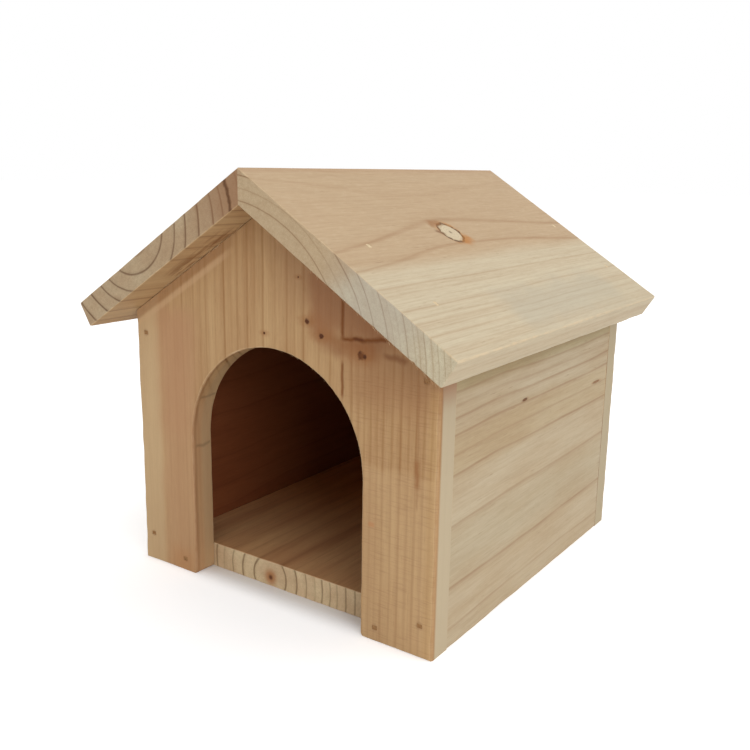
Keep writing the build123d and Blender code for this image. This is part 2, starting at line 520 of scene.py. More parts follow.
def wear(points, size, arrises, seed):
    """Rounds a block's arrises by hand-sanded, uneven amounts.  An arris is the two sides that
    meet there, such as "u-w+", and its radius."""
    depth = {}
    for axis, letter in enumerate("uvw"):
        depth[letter + "-"] = points[:, axis].copy()
        depth[letter + "+"] = size[axis] - points[:, axis]
    for place, (sides, radius) in enumerate(arrises):
        one, other = sides[:2], sides[2:]
        uneven = unevenness(points, seed + place, seed + 50 + place)
        depth[one], depth[other] = round_arris(
            depth[one], depth[other], np.maximum(radius * uneven, 0.05))
        for side in (one, other):
            mirror = side[0] + ("+" if side[1] == "-" else "-")
            depth[mirror] = size["uvw".index(side[0])] - depth[side]
    return np.stack([depth["u-"], depth["v-"], depth["w-"]], -1)


def wavy(inward, places, reach, size, seed):
    """Depths below a board's face, once the face itself waves inward by up to about two reaches."""
    on_face = 0.01
    return inward + reach * (1 + wobble(places, size, seed)) * (inward < on_face)


def corner_mm(node):
    """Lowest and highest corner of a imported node, in mm."""
    return tuple(np.array(corner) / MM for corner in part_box(node))


pitch = radians(32)  # of the roof, below level
ridge = corner_mm("right_roof_board")[1][2]
front_face, back_face = corner_mm("front_panel")[0][1], corner_mm("back_panel")[1][1]
apex = corner_mm("front_panel")[1][2]

brad_length, brad_width, brad_thick, brad_point = 20, 1, 0.7, 1.2
brad_head, brad_head_depth, brad_set, brad_ease = 1.3, 0.4, 0.3, 0.05
side_middle, side_margin, board_middle = 44.5, 8, board_thick / 2
gable_brads = [(hand * side_middle, height) for hand in (-1, 1)
               for height in (side_margin, apex - side_middle * tan(pitch) - side_margin)]
gable_brads += [(-32, board_middle), (32, board_middle)]
roof_brads = [(down, y) for down in (31, 52)
              for y in (front_face + board_middle, back_face - board_middle)]
brad_rows = {
    "front_brads": ((0, -1, 0), [(x, front_face, z) for x, z in gable_brads]),
    "back_brads": ((0, 1, 0), [(x, back_face, z) for x, z in gable_brads]),
}
for hand, group in ((1, "right_roof_brads"), (-1, "left_roof_brads")):
    brad_rows[group] = (
        (hand * sin(pitch), 0, cos(pitch)),
        [(hand * down * cos(pitch), y, ridge - down * sin(pitch)) for down, y in roof_brads])


def brad_holes():
    """The holes of all the brads, in mm, as one object that is taken out of each board."""
    half_head, half_wire = brad_head / 2 + brad_ease, brad_thick / 2 + brad_ease
    seat, tip = -brad_set - brad_head_depth, -brad_set - brad_length
    above_wood = 1
    profile = [(half_head, above_wood), (half_head, seat), (half_wire, seat),
               (half_wire, tip + brad_point)]
    profile += [(0, tip - brad_ease)] + [(-x, z) for x, z in reversed(profile)]
    half_width = brad_width / 2 + brad_ease
    shape = bmesh.new()
    for outward, spots in brad_rows.values():
        turn = Vector((0, 0, 1)).rotation_difference(Vector(outward)).to_matrix()
        for spot in spots:
            near, far = (
                [shape.verts.new(Vector(spot) + turn @ Vector((x, y, z))) for x, z in profile]
                for y in (-half_width, half_width))
            shape.faces.new(near)
            shape.faces.new(reversed(far))
            for corner in range(len(profile)):
                shape.faces.new([near[corner - 1], near[corner], far[corner], far[corner - 1]])
    bmesh.ops.recalc_face_normals(shape, faces=shape.faces)
    mesh = bpy.data.meshes.new("brad_holes")
    shape.to_mesh(mesh)
    shape.free()
    return add_object("brad_holes", mesh)


holes = brad_holes()


def plain_mesh(piece):
    """A piece's mesh with its modifiers worked in, which are then taken off it."""
    bpy.context.view_layer.update()
    made = piece.evaluated_get(bpy.context.evaluated_depsgraph_get())
    mesh = bpy.data.meshes.new_from_object(made)
    piece.modifiers.clear()
    return mesh


def make_piece(node, places, quads, material):
    """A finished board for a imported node, with its brad holes, from its points' x, y, z in mm."""
    name = node + "_pine"
    mesh = bpy.data.meshes.new(name)
    mesh.from_pydata(np.stack(places, -1).tolist(), [], quads.tolist())
    shape = bmesh.new()
    shape.from_mesh(mesh)
    bmesh.ops.recalc_face_normals(shape, faces=shape.faces)
    shape.to_mesh(mesh)
    shape.free()
    mesh.materials.append(material)
    piece = add_object(name, mesh)
    cut = piece.modifiers.new("holes", "BOOLEAN")
    cut.operation, cut.solver, cut.object = "DIFFERENCE", "MANIFOLD", holes
    piece.data = plain_mesh(piece)
    piece.data.transform(Matrix.Scale(MM, 4))
    piece.data.shade_smooth()
    piece.data.set_sharp_from_angle(angle=radians(55))
    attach(piece, "root")
    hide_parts(node)


floor_low, floor_high = corner_mm("floor_board")
floor_width, floor_depth, floor_thick = floor_high - floor_low
wood = Wood("floor_pine", (0, 0, floor_high[2]), (1, 0, 0), (0, 0, -1), (0, 1, 0))
from_pith = wood.total(
    wood.radius((-6.8, 4.5), squeeze=1.15), wood.drift(1.5, (40, 40, 50), 1),
    wood.drift(0.5, (4, 4, 30), 2, 4))
season = wood.rings(from_pith, [
    (6.4, 1), (10.6, 0.95), (14.3, 0.6), (17.6, 0.35), (20.3, 0.8), (23.2, 0.6), (25.8, 0.5),
    (29, 0.8), (32.4, 0.7), (36.5, 0.7), (40, 0.6), (44, 0.6), (48, 0.5),
], rise=1, fall=0.45)
top_soft = wood.smooth(wood.end, 0, 1, 0.32, 0.85)
# The end tone lifts the front end a lot: painted light for the light the recessed end gets from the
# front, over the end grain's paler, greyer tone.
wood.coat((216, 168, 118), (202, 150, 104), (134, 88, 50), wood.times(season, top_soft),
          0.75, end_tone=(1.1, 1.53, 2))
broad = wood.times(wood.clouds((5, 5, 80), 2, 0, 0.22, shift=9), wood.smooth(wood.end, 0.3, 0))
wood.stain((150, 96, 58), broad, 0.45)
wood.stain((168, 108, 60), wood.smooth(from_pith, 3.6, 1.2, 0, 0.8))
wood.stain((86, 40, 14), wood.smooth(from_pith, 1.4, 0.5, 0, 0.9))
# Painted shade: the floor's top darkens from the doorway towards the back of the house.
wood.stain((226, 184, 140), wood.smooth(wood.w, -34, 24), wood.face, way="MULTIPLY")
floor_pine = wood.finish()

points, quads = block_skin(
    mesh_lines(floor_width, 1.2), mesh_lines(floor_thick, 1, 0.5), mesh_lines(floor_depth, 1.4))
points = wear(points, (floor_width, floor_thick, floor_depth), [
    ("v-w-", 0.35), ("v+w-", 0.3), ("u-v-", 0.2), ("u+v-", 0.2)], seed=11)
inward = wavy(points[:, 1], points[:, ::2], 0.05, 25, 12)
places = floor_low[0] + points[:, 0], floor_low[1] + points[:, 2], floor_high[2] - inward
make_piece("floor_board", places, quads, floor_pine)


# Side panels.  Flat-sawn pine with the grain from front to back, butted between the gable
# panels, their tops bevelled under the roof.  The right one shows wide rings that close up.

side_low, side_high = corner_mm("right_side_panel")
side_thick, side_depth, side_tall = side_high - side_low
outer_tall = side_tall - side_thick * tan(pitch)


def side_panel(material, hand, node, seed):
    """One side panel as a mesh; hand is 1 on the right and -1 on the left."""
    points, quads = block_skin(
        mesh_lines(side_tall, 1), mesh_lines(side_thick, 1, 0.5), mesh_lines(side_depth, 1.2))
    points = wear(points, (side_tall, side_thick, side_depth), [
        ("u-v-", 0.45), ("u-v+", 0.2), ("v-w-", 0.2), ("v-w+", 0.2), ("u-w-", 0.2), ("u-w+", 0.2),
    ], seed)
    up, inward, along = points.T
    inward = wavy(inward, points[:, ::2], 0.06, 22, seed + 7)
    tall = outer_tall + inward * tan(pitch)
    places = hand * (side_high[0] - inward), side_low[1] + along, up * tall / side_tall
    make_piece(node, places, quads, material)


wood = Wood("right_side_pine", (side_high[0], 0, 0), (0, 0, 1), (-1, 0, 0), (0, 1, 0))
up_the_tree = wood.total(
    wood.u, wood.times(wood.v, 0.9), wood.drift(5, (45, 45, 60), 1, 2),
    wood.drift(0.45, (8, 8, 30), 2, 6))
season = wood.rings(up_the_tree, [
    (5.6, 0.5), (15.8, 0.9), (31, 0.6), (43.4, 0.9), (48.6, 0.45), (53.6, 0.8), (57.6, 0.8),
    (60.4, 0.4), (63.4, 0.7), (66, 0.5), (68.5, 0.5), (71, 0.5), (74, 0.5),
], rise=1.5, fall=0.4)
wood.coat((193, 177, 148), (184, 163, 131), (142, 102, 66), season, 0.7)
wood.stain((250, 252, 252), wood.zone((17, 30), (-80, 80), 4, 3), way="MULTIPLY")
wood.stain((250, 246, 238), wood.zone((43, 53), (-80, 80), 2, 3), way="MULTIPLY")
wood.knot(53.7, -7, (0.35, 1.3), (74, 46, 26), (120, 80, 46), (160, 118, 78))
wood.knot(49, 42.5, (0.3, 2.4), (140, 104, 66), (150, 112, 74), (170, 130, 92))
# Painted shade: the top of the side panel, just under the eave, is darkened as the eave's shadow.
wood.stain((231, 230, 213), wood.zone((62.6, 80), (-60, 60), 1.6, 1), way="MULTIPLY")
# Painted shade on the inside face.
wood.paint_inside_shade(166, 105, 73)
side_panel(wood.finish(), 1, "right_side_panel", 21)

wood = Wood("left_side_pine", (-side_high[0], 0, 0), (0, 0, 1), (1, 0, 0), (0, 1, 0))
up_the_tree = wood.total(
    wood.u, wood.times(wood.v, 0.9), wood.swell(-33, 26, 26, 2.6),
    wood.drift(7, (45, 45, 60), 1, 9), wood.drift(0.7, (8, 8, 25), 2, 5))
season = wood.rings(up_the_tree, [
    (3.6, 0.5), (8.8, 0.6), (13, 0.5), (18, 0.7), (24.6, 0.6), (33.6, 0.5), (46.4, 0.8),
    (55.6, 0.7), (62, 0.6), (67.4, 0.6), (71, 0.5), (74, 0.5),
], rise=1.3, fall=0.4)
wood.coat((196, 176, 144), (184, 158, 124), (146, 104, 70), season, 0.6)
wood.knot(38, -33, (2.2, 3), (84, 50, 28), (166, 116, 74), (170, 118, 74))
# Painted shade on the inside face.
wood.paint_inside_shade(166, 105, 73)
side_panel(wood.finish(), -1, "left_side_panel", 31)


# Front panel.  Staves of upright pine glued edge to edge, planed, with the arched doorway cut
# out.  It is glued and pinned over the ends of the side panels and of the floor board.

front_high = corner_mm("front_panel")[1]
gable_half, gable_thick = front_high[0], front_high[1] - front_face
eaves_tall = apex - gable_half * tan(pitch)
door_half, door_spring = 27.75, 39.5
amber, tan_wood, red_wood = (200, 164, 118), (186, 146, 102), (190, 146, 108)

wood = Wood("front_pine", (0, front_face, 0), (1, 0, 0), (0, 1, 0), (0, 0, 1))
across = wood.total(
    wood.u, wood.times(wood.v, 0.7), wood.drift(1.6, (30, 30, 90), 1, 2),
    wood.drift(0.5, (5, 5, 30), 2, 6))
season = wood.rings(across, [
    (-45, 0.3), (-42.4, 0.2), (-36.4, 0.4), (-33.4, 0.3), (-30.2, 0.6), (-28.2, 0.35), (-26, 0.6),
    (-23.6, 0.3), (-21.4, 0.5), (-18.2, 0.35), (-15, 0.9), (-12.6, 0.4), (-10.6, 0.6), (-7.2, 0.8),
    (-4.8, 0.35), (-2.2, 0.8), (1.6, 0.4), (5.3, 0.8), (7.6, 0.35), (10.2, 0.9), (14.6, 0.5),
    (18, 0.8), (21.6, 0.5), (24.4, 0.7), (26.4, 0.5), (28.2, 0.8), (30, 0.6), (31.8, 0.6),
    (33.6, 0.8), (36, 0.8), (38.4, 0.9), (40.6, 0.5), (42.6, 0.8), (44.6, 0.6), (46.6, 0.7),
    (49, 0.5), (51, 0.5), (53, 0.5),
], rise=1.2, fall=0.5)
wood.coat(amber, tan_wood, (138, 88, 34), season, 0.58)
wood.patch((212, 184, 142), 0.5, (-60, -39.6), (-1, 110), 1.2)
wood.patch(red_wood, 0.5, (-39.6, -26), (-1, 74), 2.5, 4)
wood.patch((186, 136, 98), 0.35, (-39, -28), (40, 72), 5, 12)
# The lower right stave is lighter: partly its paler wood, partly painted light on the lower front.
wood.patch((212, 178, 134), 0.3, (21.8, 60), (-9, 44), 1, 4)
wood.patch((152, 100, 64), 0.75, (12, 60), (72.6, 110), 3, 6)
wood.patch((160, 114, 78), 0.4, (2, 60), (78, 120), 7, 8)
wood.patch((158, 112, 74), 0.5, (22, 60), (58, 73), 5, 5)
wood.patch((142, 90, 54), 0.45, (14, 33), (69, 73), 1.6, 6, wood.face)
stave_joint, joint_gap = (122, 68, 18), (98, 48, 4)
wood.streak((18.5, 71.6), (31, 71), 3.6, (146, 92, 50), 0.5, 0, 3.5)
wood.streak((12, 77.5), (18.5, 72), 3, (160, 108, 66), 0.4, 0, 3.5)
wood.streak((21.7, 83), (21.8, 72.7), 0.8, stave_joint, 0.9, 0.1, 0.6)
wood.streak((21.6, 72.4), (34, 73.4), 0.9, stave_joint, 1, 0.08, 1.6)
wood.streak((24.8, 72.7), (27.6, 72.9), 0.6, joint_gap, 0.9, 0.1, 1.6)
wood.streak((32, 73.3), (42, 74.4), 0.5, stave_joint, 0.5)
wood.streak((21.7, 67), (21.8, 58.8), 0.7, stave_joint, 0.85, 0.1, 0.5)
wood.streak((33.3, 70.2), (39.5, 69.6), 1.3, (136, 88, 52), 0.8, 0, 1.8)
wood.streak((42.7, 65), (42.9, 36), 0.5, (150, 102, 62), 0.35, 0, 0.6)
wood.streak((42.6, 47.5), (42.9, 41), 1.3, (146, 88, 40), 0.5, 0, 1.2)
wood.brad_marks(gable_brads, (132, 86, 50))
knot_bark, knot_halo = (84, 40, 2), (152, 94, 46)
for u, w, size, reach in (
        (11.3, 75.3, 0.55, 3.6), (15.5, 72.3, 0.6, 4.5), (26.9, 69.2, 0.85, 4.5), (28, 69, 0.5, 3),
        (8.7, 85.4, 0.25, 4), (-2, 70.9, 0.3, 4), (38.6, 83, 0.3, 4)):
    wood.pin_knot(u, w, size, knot_bark, knot_halo, reach)
wood.patch((196, 124, 76), 0.4, (29.8, 31.4), (28.9, 30.1), 0.4, 0.8, wood.face)
wood.patch((184, 124, 70), 0.35, (-37, -29), (-2, 6), 3, 3, wood.face)
below_roof = wood.total(
    eaves_tall + gable_half * tan(pitch), wood.times(wood.away(wood.u), -tan(pitch)),
    wood.times(wood.w, -1))
left_top = wood.times(wood.smooth(wood.u, -10, -18), wood.face)
# Painted shadow: a darker band just under the left roof, for the shade in the gap between gable and
# roof.
wood.stain((150, 104, 66), wood.smooth(below_roof, 3.4, 2.2), left_top, 0.5)
# Painted highlight: a pale band along the gable's top edge, standing for the light its sanded,
# rounded edge catches.
painted_edge_highlight = wood.times(wood.smooth(below_roof, 5.2, 4.2), wood.smooth(below_roof, 2.6, 3.6))
wood.stain((212, 176, 138), painted_edge_highlight, left_top, wood.smooth(wood.u, -47, -36, 0.3, 1), 0.45)
wood.patch((204, 164, 108), 0.25, (45.4, 60), (-1, 64), 0.8, 0.5, wood.face)
saw_marks = wood.times(
    wood.clouds((6, 14, 0.36), 2, -0.02, 0.22, shift=8),
    wood.zone((22, 60), (-2, 66), 4, 6, wood.face))
wood.stain((140, 94, 56), saw_marks, 0.2)
wood.emboss(saw_marks, -0.03)
cream = wood.times(
    wood.sides, wood.smooth(wood.v, 0.8, 1.8), wood.smooth(wood.away(wood.u), 40, 44),
    wood.smooth(wood.u, -20, 20, 0.4, 1))
wood.stain((187, 173, 145), cream, 0.85)
wood.stain((150, 100, 66), cream, wood.smooth(wood.w, 58, 66), 0.7)
jamb = wood.times(wood.smooth(wood.away(wood.u), 30, 28), wood.smooth(wood.v, 2.4, 4.2), 0.35)
wood.stain((168, 146, 112), jamb)
# Painted shade on the inside face.
wood.paint_inside_shade(178, 118, 84)
# Painted shade: the arrises near the face that turn to the right, towards the right lamp, are
# darkened to dim their highlight.
lit_arris_shade = wood.times(wood.smooth(wood.faces_u, 0.25, 0.6), wood.smooth(wood.v, 1.8, 0.9))
wood.stain((228, 219, 212), lit_arris_shade, way="MULTIPLY")
for height in (36.9, 50.7):
    scrape = wood.zone((-30, -20), (height - 0.3, height + 0.3), 0.5, 2.6)
    scrape = wood.times(scrape, wood.smooth(wood.v, 0.8, 1.6), wood.smooth(wood.v, 6.6, 6), 0.5)
    wood.stain((104, 84, 58), scrape)
front_pine = wood.finish()


def doorway_stations(spacing):
    """Stations along the doorway, from its left foot over the arch to its right foot: a point on
    the opening's edge and the one abreast of it on the panel's outline, as (x, z) pairs."""
    rows = mesh_lines(2 * door_spring, spacing)
    rows = rows[rows < door_spring]
    corner = np.arctan2(eaves_tall - door_spring, -gable_half)
    turns = [np.linspace(start, stop, int(abs(start - stop) * far / spacing) + 2)[:-1]
             for start, stop, far in ((pi, corner, 52), (corner, pi / 2, 58))]
    left = [((-door_half, z), (-gable_half, z)) for z in rows]
    for turn in np.concatenate(turns):
        way = np.array((cos(turn), sin(turn)))
        reach = min(gable_half / max(abs(way[0]), 1e-9),
                    (apex - door_spring) / (way[1] + abs(way[0]) * tan(pitch)))
        centre = np.array((0, door_spring))
        left.append((centre + door_half * way, centre + reach * way))
    left = np.array(left)
    mirror = left[::-1] * (-1, 1)
    top = np.array([[(0, door_spring + door_half), (0, apex)]])
    return np.concatenate([left, top, mirror])


stations = doorway_stations(0.9)
opening, outline = stations[:, 0], stations[:, 1]
even = np.linspace(0, 1, 30)[1:-1]
near, margin = [0, 0.1, 0.25, 0.5, 0.9, 1.4], 1.4
spread = len(near) + len(even) + len(near)
points, quads = block_skin(
    np.arange(len(stations)), mesh_lines(gable_thick, 0.8, 0.9), np.arange(spread))
station = points[:, 0].astype(int)
step = points[:, 2].astype(int)
span = np.linalg.norm(outline - opening, axis=1)[station]
share = np.concatenate([np.zeros(len(near)), even, np.ones(len(near))])[step]
offset = np.concatenate([near, margin * (1 - 2 * even), [-value for value in reversed(near)]])[step]
from_door = share * span + offset
foot = np.minimum(opening[:, 1], outline[:, 1])[station]
inward = points[:, 1]
spot = np.stack([from_door, inward, foot], -1) + opening[station][:, [0]]
uneven = unevenness(spot, 41, 42)
from_door, inward = round_arris(from_door, inward, np.maximum(0.7 * uneven, 0.1))
at_back, from_side = gable_thick - inward, span - from_door
from_door, at_back = round_arris(from_door, at_back, np.maximum(0.4 * uneven, 0.1))
from_side = span - from_door
upright = np.clip((eaves_tall - 1 - outline[station][:, 1]) / 2, 0, 1)
inward = gable_thick - at_back
from_side, inward = round_arris(from_side, inward, np.maximum((0.45 + 0.6 * upright) * uneven, 0.1))
from_door = span - from_side
at_foot = foot < 3
worn = np.where(at_foot, 0.5 * uneven, 0)
height, inward = round_arris(foot, inward, np.maximum(worn, 1e-6))
lift = np.where(at_foot, height - foot, 0)
side_lift, from_door_worn = round_arris(foot, from_door, np.where(at_foot, 1.1, 1e-6))
lift = lift + np.where(at_foot, side_lift - foot, 0)
from_door = np.where(at_foot, from_door_worn, from_door)
place = opening[station] + (outline - opening)[station] * (from_door / span)[:, None]
inward = wavy(inward, place, 0.06, 22, 43)
places = place[:, 0], front_face + inward, place[:, 1] + lift
make_piece("front_panel", places, quads, front_pine)


# Back panel.  A plain gable of the same staves, 7 mm thick and with no opening.  It is glued and
# pinned over the other ends of the side panels and of the floor board.

wood = Wood("back_pine", (0, back_face, 0), (-1, 0, 0), (0, -1, 0), (0, 0, 1))
across = wood.total(
    wood.u, wood.times(wood.v, 0.7), wood.drift(4, (30, 30, 90), 1, 5),
    wood.drift(0.6, (5, 5, 30), 2, 8))
season = wood.rings(across, [
    (-50 + 5 * i + 1.4 * sin(2.3 * i), 0.6 + 0.3 * sin(5 * i)) for i in range(21)])
wood.coat(amber, tan_wood, (132, 86, 50), season, 0.5)
wood.patch((206, 178, 136), 0.4, (-14, 60), (-1, 110), 0.8)
wood.patch(red_wood, 0.35, (-40, -16), (10, 90), 4, 9)
wood.streak((-14, -2), (-14, 96), 0.25, stave_joint, 0.5, 0.08, 0.1)
wood.brad_marks([(-x, z) for x, z in gable_brads], (132, 86, 50))
wood.knot(22, 58, (2.4, 2.9), knot_bark, (170, 116, 72), knot_halo)
wood.pin_knot(-26, 24, 0.7, knot_bark, knot_halo)
wood.stain((178, 162, 132), wood.sides, wood.smooth(wood.u, 20, -20, 0.4, 1))
# Painted shade on the inside face.
wood.paint_inside_shade(178, 118, 84)
back_pine = wood.finish()

half_lines = mesh_lines(2 * gable_half, 1.2)
half_lines = half_lines[half_lines < gable_half - 0.3]
full_lines = np.concatenate([half_lines, [gable_half], 2 * gable_half - half_lines[::-1]])
points, quads = block_skin(full_lines, mesh_lines(gable_thick, 1, 0.9), mesh_lines(apex, 1.2))
points = wear(points, (2 * gable_half, gable_thick, apex), [
    ("u-v-", 1), ("u+v-", 1), ("v-w+", 0.5), ("v-w-", 0.5), ("u-w-", 0.3), ("u+w-", 0.3)], seed=51)
inward = wavy(points[:, 1], points[:, ::2], 0.06, 22, 52)
x = gable_half - points[:, 0]
tall = apex - np.abs(x) * tan(pitch)
places = x, back_face - inward, points[:, 2] * tall / apex
make_piece("back_panel", places, quads, back_pine)


# Roof boards.  Flat-sawn pine with the grain from front to back, mitred at the ridge and cut
# square at the eaves, glued and pinned down on the gables.  The right one holds a branch.

roof_low, roof_high = corner_mm("right_roof_board")
roof_front, roof_length = roof_low[1], roof_high[1] - roof_low[1]
roof_slope = 68.37


def chip(points, down, depth, size):
    """Bites a bit of a size out of a board's front end, as a knock does, half as deep as wide."""
    near = np.clip(1 - np.linalg.norm((points - (down, depth, 0)) / size, axis=1) ** 2, 0, 1)
    return points + near[:, None] * (0, 0, 0.5 * size)


def roof_board(material, hand, node, seed, fine_down=(), fine_along=(), chips=()):
    """One roof board as a mesh; hand is 1 on the right and -1 on the left.  Each of its chips is
    how far down the slope it lies, how far below the face, and its size."""
    points, quads = block_skin(
        mesh_lines(roof_slope, 0.9, 0.6, fine_down), mesh_lines(board_thick, 0.8, 0.6),
        mesh_lines(roof_length, 0.9, 0.6, fine_along))
    points = wear(points, (roof_slope, board_thick, roof_length), [
        ("u+v-", 0.65), ("u+v+", 0.5), ("v-w-", 0.3), ("v-w+", 0.3), ("v+w-", 0.3), ("v+w+", 0.3),
        ("u+w-", 0.3), ("u+w+", 0.3)], seed)
    for down, depth, size in chips:
        points = chip(points, down, depth, size)
    down, inward, along = points.T
    inward = wavy(inward, points[:, ::2], 0.05, 25, seed + 7)
    if fine_down:
        reach = np.hypot(down - knot_down, along + roof_front - knot_y) / knot_size
        inward = inward + 0.22 * np.exp(-((reach - 1) / 0.09) ** 2) * (inward < 0.3)
        inward = inward + 0.06 * np.exp(-(reach / 0.15) ** 2) * (inward < 0.3)
    start = inward * tan(pitch)
    down = start + down * (roof_slope - start) / roof_slope
    places = (hand * (down * cos(pitch) - inward * sin(pitch)), roof_front + along,
              ridge - down * sin(pitch) - inward * cos(pitch))
    make_piece(node, places, quads, material)


knot_down, knot_y, knot_size = 29.2, -7.3, 3.9
wood = Wood("right_roof_pine", (0, 0, ridge), (cos(pitch), 0, -sin(pitch)),
            (-sin(pitch), 0, -cos(pitch)), (0, 1, 0))
from_pith = wood.total(
    wood.radius((18.1, 38.2)),
    wood.times(wood.swell(knot_y, 42, 78, 2.6), wood.smooth(wood.u, 44, 34),
               wood.smooth(wood.v, 6, 0, 0.4, 1)),
    wood.drift(0.5, (20, 20, 70), 1, 3),
    wood.drift(0.3, (6, 6, 24), 2, 8),
)
season = wood.rings(from_pith, [
    (31.5, 0.5), (35.4, 0.7), (38.3, 0.4), (41.2, 0.9), (43.8, 0.9), (46.9, 0.8), (48.3, 0.4),
    (49.8, 0.4), (51.4, 0.8), (53.2, 0.45), (54.3, 0.5), (55.6, 0.7), (57.2, 0.5), (58.6, 0.5),
    (60, 0.6), (61.4, 0.45), (62.8, 0.5), (64.2, 0.45), (65.6, 0.5), (67, 0.5), (68.4, 0.5),
], rise=0.6, fall=0.24)
sap_edge = wood.total(wood.u, wood.drift(2.5, (10, 10, 30), 3, 1), wood.times(wood.v, 0.5))
heart = wood.smooth(sap_edge, 42.5, 35.5)
near_ridge = wood.math("MAXIMUM", wood.end, wood.smooth(wood.u, 10, 24, 0.3, 1))
at_eave = wood.smooth(wood.u, 67.3, 68, 1, 0.5)
late_share = wood.times(wood.smooth(heart, 0, 1, 0.6, 0.8), near_ridge, at_eave)
wood.coat((204, 190, 161), (190, 163, 129), (148, 106, 66), wood.times(season, late_share),
          0.62, end_tone=(1.1, 1.16, 1.18), clouds=heart)
wood.patch((168, 126, 94), 0.25, (-9, 1.6), (-70, 70), 0.5, 0.8, wood.face)
wood.patch((176, 170, 152), 0.4, (53, 66), (-22, 42), 5, 9, wood.face)
wood.patch((188, 174, 146), 0.3, (58, 70), (20, 62), 5, 9, wood.face)
wood.stain((176, 166, 158), wood.zone((36, 58), (-70, 70), 8, 5), wood.end, 0.35)
knot_orange = (180, 120, 56)
wood.knot(knot_down, knot_y, (knot_size, knot_size), (84, 58, 36), (208, 190, 158), knot_orange,
          lean=-0.29, spread=1.5)
wood.streak((33.6, -6.4), (31.4, -1.4), 2.6, knot_orange, 0.85, 0, 3)
wood.streak((25.4, -13), (25, -7), 2.2, (150, 102, 56), 0.75, 0, 3)
wood.streak((27.8, -13.2), (29.8, -10.8), 1.2, (120, 80, 44), 0.8, 0, 2)
# Painted shade, light, on the underside.
wood.paint_inside_shade(236, 214, 184)
roof_board(
    wood.finish(), 1, "right_roof_board", 61,
    fine_down=[(knot_down - 5, knot_down + 5, 0.3)],
    fine_along=[(knot_y - roof_front - 5, knot_y - roof_front + 5, 0.3)],
    chips=[(59.8, 7, 0.8), (47, 7, 0.5)])

wood = Wood("left_roof_pine", (0, 0, ridge), (-cos(pitch), 0, -sin(pitch)),
            (sin(pitch), 0, -cos(pitch)), (0, 1, 0))
from_pith = wood.total(
    wood.radius((39.2, -6.8)), wood.drift(1.5, (20, 20, 70), 1, 6),
    wood.drift(0.4, (6, 6, 24), 2, 2))
season = wood.rings(from_pith, [
    (7.4, 0.4), (11.9, 0.8), (16.3, 0.7), (20.1, 0.8), (24.5, 0.9), (29.2, 0.9), (32.6, 0.8),
    (35.4, 1), (38.6, 0.5), (41.4, 0.5),
], rise=1, fall=0.4)
wood.coat((200, 174, 136), (190, 158, 120), (122, 84, 50), season, 0.64,
          end_tone=(0.98, 1.03, 1.1))
wood.stain((154, 112, 78), wood.smooth(wood.u, 26, 4, 0, 0.75), wood.end)
red_line = wood.math("MULTIPLY_ADD", wood.noise(1.5, 2, shift=6.6), 1.2, from_pith)
red_line = wood.smooth(wood.away(wood.minus(red_line, 35.1)), 0.8, 0.1)
wood.stain((88, 52, 20), red_line, wood.end, 0.8)
# Painted shade, light, on the underside.
wood.paint_inside_shade(251, 244, 230)
swirl = wood.clouds((9, 2, 1.2), 3, -0.08, 0.12, rough=0.6, shift=2)
wood.stain((128, 84, 46), swirl, wood.zone((17, 40), (-55, -48), 3, 4, wood.back), 0.8)
roof_board(wood.finish(), -1, "left_roof_board", 71, chips=[(19, 0, 0.5)])


# Brads.  Flat steel wire with a T head and a chisel point, driven until the head is just below
# the wood.  Six hold each gable panel on the boards behind it and four hold each roof board down.

class Shaper(Tree):
    """A tree of Geometry Nodes, with named inputs for its sizes."""

    def __init__(self, name):
        super().__init__(bpy.data.node_groups.new(name, "GeometryNodeTree"))
        for way in ("INPUT", "OUTPUT"):
            self.tree.interface.new_socket("Geometry", in_out=way, socket_type="NodeSocketGeometry")
        self.given = self.tree.nodes.new("NodeGroupInput").outputs
        self.made = self.tree.nodes.new("NodeGroupOutput").inputs
        self.keys = {}

    def size(self, name, kind="Float"):
        """A named input of the tree."""
        self.keys[name] = self.tree.interface.new_socket(
            name, in_out="INPUT", socket_type="NodeSocket" + kind).identifier
        return self.given[name]

    def move(self, mesh, chosen, x, y, z):
        """Scales the chosen points' places in x and y and sets them down by z."""
        place = self.vector("MULTIPLY", self.node("GeometryNodeInputPosition"),
                            self.node("ShaderNodeCombineXYZ", x, y, 1.0))
        down = self.node("ShaderNodeCombineXYZ", 0.0, 0.0, self.math("MULTIPLY", z, -1.0))
        return self.node("GeometryNodeSetPosition", mesh, chosen, place, down)

    def draw_down(self, mesh, chosen, depth):
        """Draws the chosen faces down into a length of the shape; gives it and those faces."""
        drawn = self.add("GeometryNodeExtrudeMesh", mesh, chosen, (0, 0, -1), depth, False).outputs
        return drawn["Mesh"], drawn["Top"]

    def close(self, shape, lid):
        """Joins a shape and its lid into one closed skin."""
        join = self.tree.nodes.new("GeometryNodeJoinGeometry")
        for part in (shape, lid):
            self.tree.links.new(part, join.inputs[0])
        return self.node("GeometryNodeMergeByDistance", join.outputs[0], None, 1e-6)

    def copy_onto(self, points, shape, way, scale, material):
        """Puts the shape on each point, with its top turned to a way, as one mesh of a material."""
        turn = self.node("FunctionNodeAlignRotationToVector", None, 1.0, way, axis="Z")
        whole = self.node(
            "GeometryNodeInstanceOnPoints", points, None, shape, None, None, turn, scale)
        whole = self.node("GeometryNodeRealizeInstances", whole)
        whole = self.node("GeometryNodeSetMaterial", whole, None, material)
        self.tree.links.new(whole, self.made["Geometry"])


